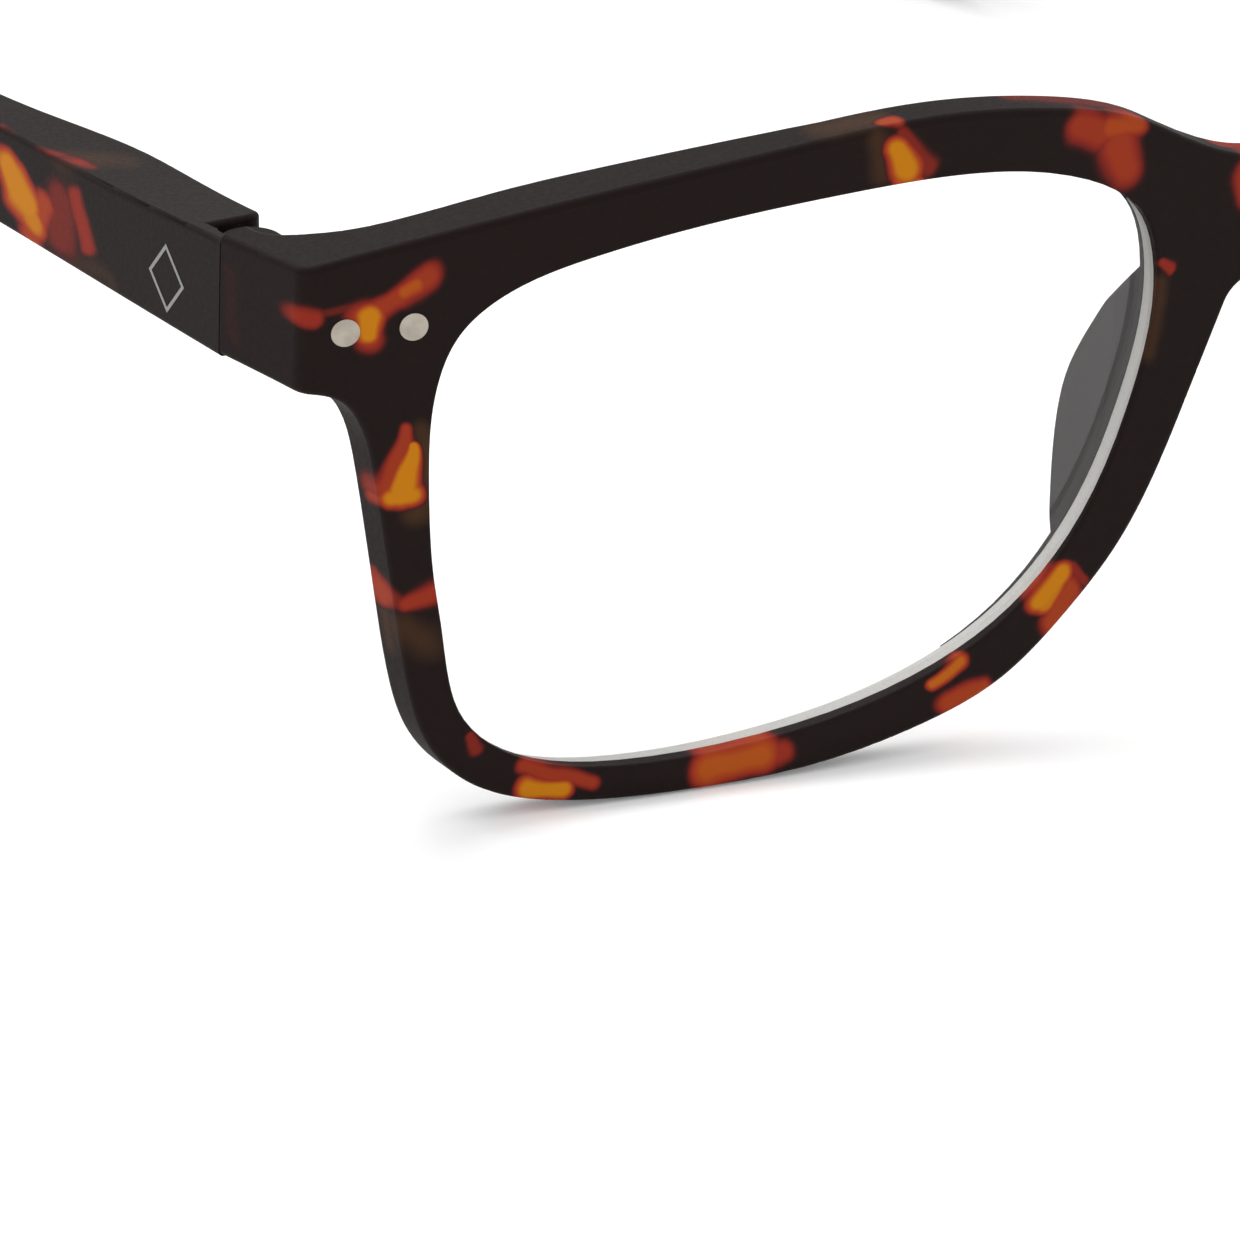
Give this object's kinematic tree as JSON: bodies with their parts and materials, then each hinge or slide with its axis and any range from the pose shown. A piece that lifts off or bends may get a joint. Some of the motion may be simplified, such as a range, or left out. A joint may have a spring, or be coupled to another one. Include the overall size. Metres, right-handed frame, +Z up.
{
  "type": "folding reading glasses",
  "caption": "Matte tortoiseshell plastic reading glasses with riveted endpieces, integral nose pads, clear lenses and folding spring-hinged temples.",
  "frame": {"origin": "on the plane that the open glasses stand on, below the middle of the front face of the bridge", "axes": "+X to the wearer's left, +Y from the front back towards the ears, +Z up"},
  "size_m": [0.144, 0.1559, 0.0461],
  "materials": {
    "front_plastic": "dark tortoiseshell moulded plastic with a soft matte coating",
    "temple_plastic": "dark tortoiseshell moulded plastic with a soft matte coating",
    "lens": "clear moulded lens with a ground edge",
    "rivet_steel": "satin nickel-plated rivet heads",
    "hinge_steel": "satin nickel silver",
    "spring_steel": "drawn spring wire",
    "nylon": "natural nylon"
  },
  "bodies": {
    "front": {"front_frame": "front_plastic", "lens_right": "lens", "rivet_outer_right": "rivet_steel", "rivet_inner_right": "rivet_steel", "hinge_plate_right": "hinge_steel", "hinge_screw_right": "hinge_steel", "hinge_washer_upper_right": "nylon", "hinge_washer_lower_right": "nylon", "lens_left": "lens", "rivet_outer_left": "rivet_steel", "rivet_inner_left": "rivet_steel", "hinge_plate_left": "hinge_steel", "hinge_screw_left": "hinge_steel", "hinge_washer_upper_left": "nylon", "hinge_washer_lower_left": "nylon"},
    "right_tongue": {"spring_tongue_right": "hinge_steel", "rod_nut_right": "hinge_steel", "coil_spring_right": "spring_steel"},
    "right_temple": {"temple_right": "temple_plastic", "spring_housing_right": "hinge_steel", "housing_plug_right": "hinge_steel"},
    "left_tongue": {"spring_tongue_left": "hinge_steel", "rod_nut_left": "hinge_steel", "coil_spring_left": "spring_steel"},
    "left_temple": {"temple_left": "temple_plastic", "spring_housing_left": "hinge_steel", "housing_plug_left": "hinge_steel"}
  },
  "joints": [
    {"name": "right_temple_fold", "type": "hinge", "parent": "front", "child": "right_tongue", "pos_m": [-0.0688, 0.01741, 0.03656], "axis": [0, 0.0523, -0.9986], "range_deg": [0, 90]},
    {"name": "right_spring_travel", "type": "slide", "parent": "right_tongue", "child": "right_temple", "axis": [0, 1, 0], "range_m": [0, 0.0008], "stiffness_N_per_m": 3000, "springref_m": -0.0015, "deforming": ["coil_spring_right"]},
    {"name": "left_temple_fold", "type": "hinge", "parent": "front", "child": "left_tongue", "pos_m": [0.0688, 0.01741, 0.03656], "axis": [0, -0.0523, 0.9986], "range_deg": [0, 83]},
    {"name": "left_spring_travel", "type": "slide", "parent": "left_tongue", "child": "left_temple", "axis": [0, 1, 0], "range_m": [0, 0.0008], "stiffness_N_per_m": 3000, "springref_m": -0.0015, "deforming": ["coil_spring_left"]}
  ]
}
